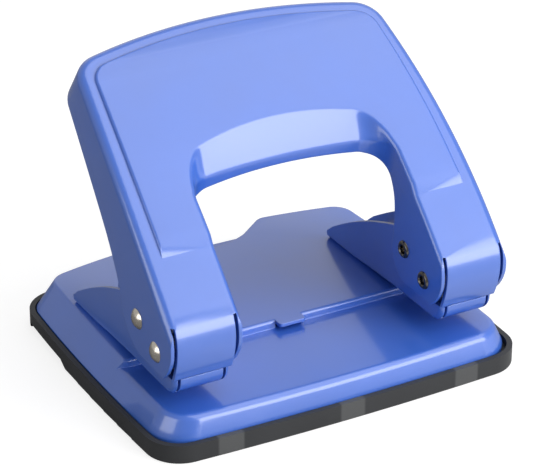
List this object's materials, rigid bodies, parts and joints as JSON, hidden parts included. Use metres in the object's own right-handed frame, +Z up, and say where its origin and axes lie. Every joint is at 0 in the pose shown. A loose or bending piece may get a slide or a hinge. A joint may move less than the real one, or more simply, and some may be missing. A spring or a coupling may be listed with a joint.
{
  "type": "two-hole punch",
  "caption": "Desk paper punch: arched lever handle on two heads over an enamelled base with a paper stop and centre mark, standing in a snap-off chip tray.",
  "frame": {"origin": "on the desk, under the chip tray, on the line halfway between the two heads", "axes": "+X to the right along the row of two punches, +Y from the paper throat to the rear under the handle, +Z up"},
  "size_m": [0.1116, 0.0943, 0.0877],
  "materials": {
    "enamel": "gloss",
    "tray_plastic": "satin",
    "rivet_steel": "satin",
    "zinc_steel": "satin",
    "tool_steel": "ground",
    "spring_steel": "satin"
  },
  "bodies": {
    "tray": {"chip_tray": "tray_plastic"},
    "base": {"base_plate": "enamel", "bracket_left": "enamel", "guide_bush_left": "zinc_steel", "pivot_rivet_left": "rivet_steel", "front_bracket_rivet_left": "rivet_steel", "rear_bracket_rivet_left": "rivet_steel", "bracket_right": "enamel", "guide_bush_right": "zinc_steel", "pivot_rivet_right": "rivet_steel", "front_bracket_rivet_right": "rivet_steel", "rear_bracket_rivet_right": "rivet_steel"},
    "handle": {"handle": "enamel", "drive_rivet_left": "rivet_steel", "drive_rivet_right": "rivet_steel"},
    "punch_left": {"punch_pin_left": "tool_steel", "spring_washer_left": "zinc_steel", "return_spring_left": "spring_steel"},
    "punch_right": {"punch_pin_right": "tool_steel", "spring_washer_right": "zinc_steel", "return_spring_right": "spring_steel"}
  },
  "joints": [
    {"name": "base_lift", "type": "slide", "parent": "tray", "child": "base", "axis": [0, 0, 1], "range_m": [0, 0.02]},
    {"name": "handle_swing", "type": "hinge", "parent": "base", "child": "handle", "pos_m": [0, -0.03355, 0.027], "axis": [-1, 0, 0], "range_deg": [0, 31], "stiffness_Nm_per_rad": 0.12, "springref_deg": -20.05},
    {"name": "punch_slide_left", "type": "slide", "parent": "base", "child": "punch_left", "axis": [0, 0, -1], "range_m": [0, 0.006], "deforming": ["return_spring_left"]},
    {"name": "punch_slide_right", "type": "slide", "parent": "base", "child": "punch_right", "axis": [0, 0, -1], "range_m": [0, 0.006], "deforming": ["return_spring_right"]}
  ],
  "couplings": [
    {"joint": "punch_slide_left", "follows": "handle_swing", "m_per_rad": 0.010892},
    {"joint": "punch_slide_right", "follows": "handle_swing", "m_per_rad": 0.010892}
  ]
}
